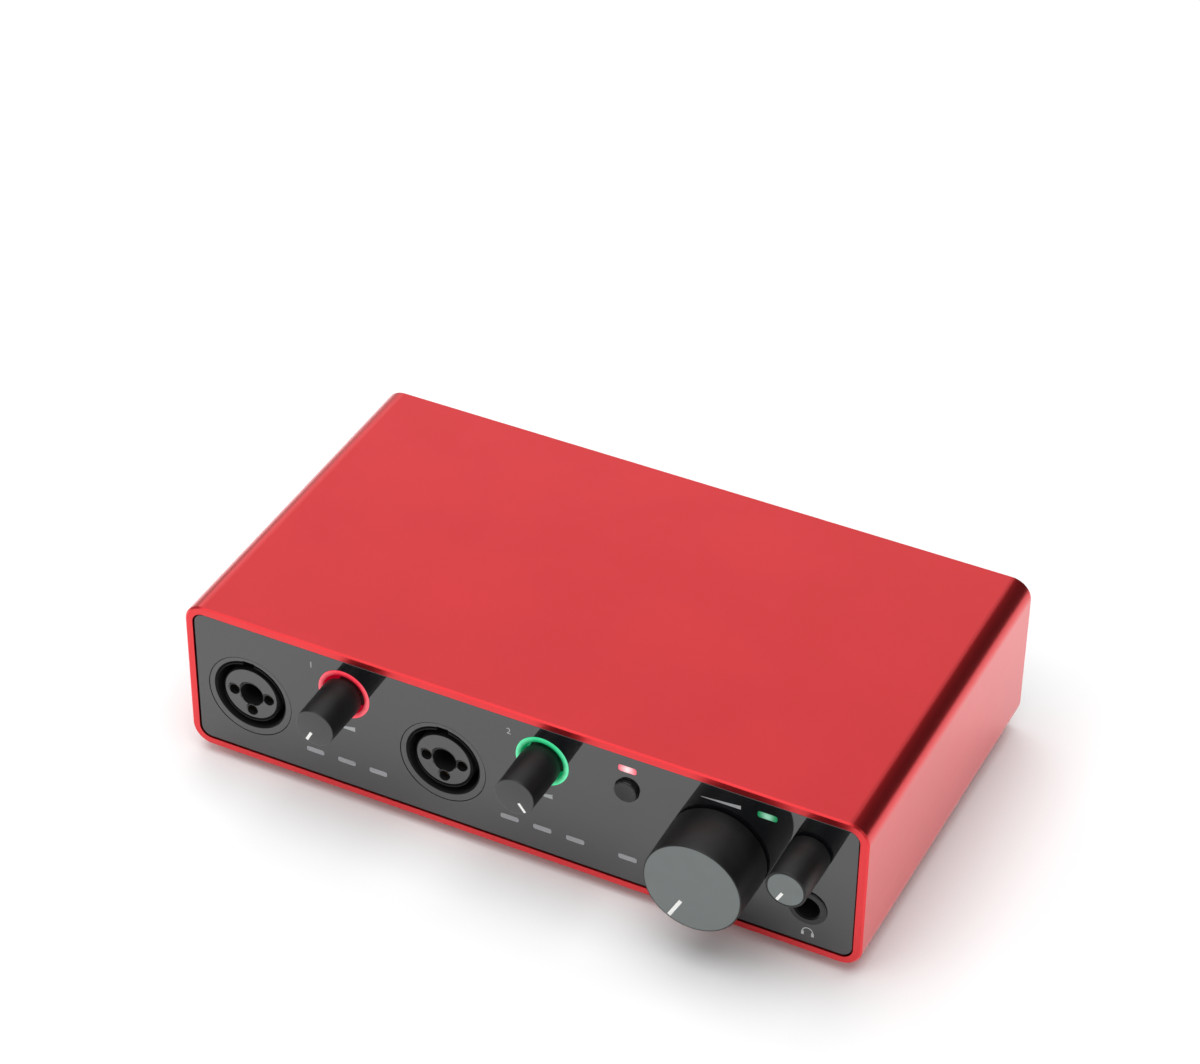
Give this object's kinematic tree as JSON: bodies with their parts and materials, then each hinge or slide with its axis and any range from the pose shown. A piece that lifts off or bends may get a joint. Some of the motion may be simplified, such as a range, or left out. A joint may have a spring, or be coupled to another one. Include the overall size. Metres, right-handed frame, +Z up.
{
  "type": "audio interface",
  "caption": "Desktop audio interface: red aluminium sleeve, glossy black front with combination inputs, knobs, push button and lit windows, and line, digital and computer sockets behind.",
  "frame": {"origin": "middle of the footprint, on the surface the feet stand on", "axes": "+X to the right of someone facing the front panel, +Y from front to rear, +Z up"},
  "size_m": [0.185, 0.1194, 0.0475],
  "materials": {
    "red_shell": "anodised, fine satin",
    "gloss_front": "high gloss",
    "bracket_steel": "zinc plated",
    "rear_black": "fine textured paint",
    "foot_rubber": "matte",
    "screw_steel": "blackened",
    "input_plastic": "fine satin",
    "contact_metal": "plated",
    "knob_black": "soft satin",
    "face_grey": "fine satin",
    "pointer_white": "satin",
    "shaft_metal": "turned",
    "pot_case": "moulded",
    "ring_dark": "satin",
    "jack_plastic": "moulded",
    "nut_metal": "nickel plated",
    "button_grey": "satin",
    "plunger_white": "moulded",
    "switch_black": "moulded",
    "halo_red": "lit from behind",
    "halo_green": "lit from behind",
    "window_red": "lit from behind",
    "window_green": "lit from behind",
    "window_dim": "unlit, smoked",
    "lamp_white": "moulded",
    "board_green": "solder mask",
    "package_black": "moulded",
    "capacitor_can": "sleeved can",
    "choke_grey": "moulded ferrite",
    "tinned_steel": "tinned"
  },
  "bodies": {
    "chassis": {"sleeve": "red_shell", "front_panel": "gloss_front", "front_bracket": "bracket_steel", "rear_panel": "rear_black", "rubber_feet": "foot_rubber", "bracket_screws": "screw_steel", "rear_screws": "screw_steel", "input_1_housing": "input_plastic", "input_2_housing": "input_plastic", "input_contacts": "contact_metal", "gain_1_potentiometer": "pot_case", "gain_2_potentiometer": "pot_case", "monitor_potentiometer": "pot_case", "phones_potentiometer": "pot_case", "halo_ring_1": "halo_red", "halo_ring_2": "halo_green", "phones_jack": "jack_plastic", "phones_jack_ring": "ring_dark", "phantom_switch": "switch_black", "phantom_window": "window_red", "link_window": "window_green", "mode_windows": "window_dim", "lamps": "lamp_white", "line_output_1": "jack_plastic", "line_output_2": "jack_plastic", "line_output_3": "jack_plastic", "line_output_4": "jack_plastic", "line_input_3": "jack_plastic", "line_input_4": "jack_plastic", "jack_nuts": "nut_metal", "jack_springs": "contact_metal", "midi_in_socket": "jack_plastic", "midi_out_socket": "jack_plastic", "midi_inserts": "jack_plastic", "midi_contacts": "contact_metal", "usb_shell": "tinned_steel", "usb_tongue": "package_black", "main_board": "board_green", "front_board": "board_green", "board_link": "package_black", "capacitors": "capacitor_can", "chips": "package_black", "chokes": "choke_grey", "supply_shield": "tinned_steel"},
    "gain_1": {"gain_1_knob": "knob_black", "gain_1_pointer": "pointer_white", "gain_1_shaft": "shaft_metal"},
    "gain_2": {"gain_2_knob": "knob_black", "gain_2_pointer": "pointer_white", "gain_2_shaft": "shaft_metal"},
    "monitor": {"monitor_knob": "knob_black", "monitor_face": "face_grey", "monitor_pointer": "pointer_white", "monitor_shaft": "shaft_metal"},
    "phones": {"phones_knob": "knob_black", "phones_face": "face_grey", "phones_pointer": "pointer_white", "phones_shaft": "shaft_metal"},
    "button": {"phantom_button": "button_grey", "phantom_plunger": "plunger_white"}
  },
  "joints": [
    {"name": "gain_1_turn", "type": "hinge", "parent": "chassis", "child": "gain_1", "pos_m": [-0.0474, -0.04485, 0.0347], "axis": [0, 1, 0], "range_deg": [0, 304]},
    {"name": "gain_2_turn", "type": "hinge", "parent": "chassis", "child": "gain_2", "pos_m": [0.0074, -0.04485, 0.0347], "axis": [0, 1, 0], "range_deg": [-295, 9]},
    {"name": "monitor_turn", "type": "hinge", "parent": "chassis", "child": "monitor", "pos_m": [0.0546, -0.04485, 0.0256], "axis": [0, 1, 0], "range_deg": [0, 304]},
    {"name": "phones_turn", "type": "hinge", "parent": "chassis", "child": "phones", "pos_m": [0.078, -0.04485, 0.0347], "axis": [0, 1, 0], "range_deg": [0, 304]},
    {"name": "button_press", "type": "slide", "parent": "chassis", "child": "button", "axis": [0, 1, 0], "range_m": [0, 0.0008], "stiffness_N_per_m": 1500}
  ]
}
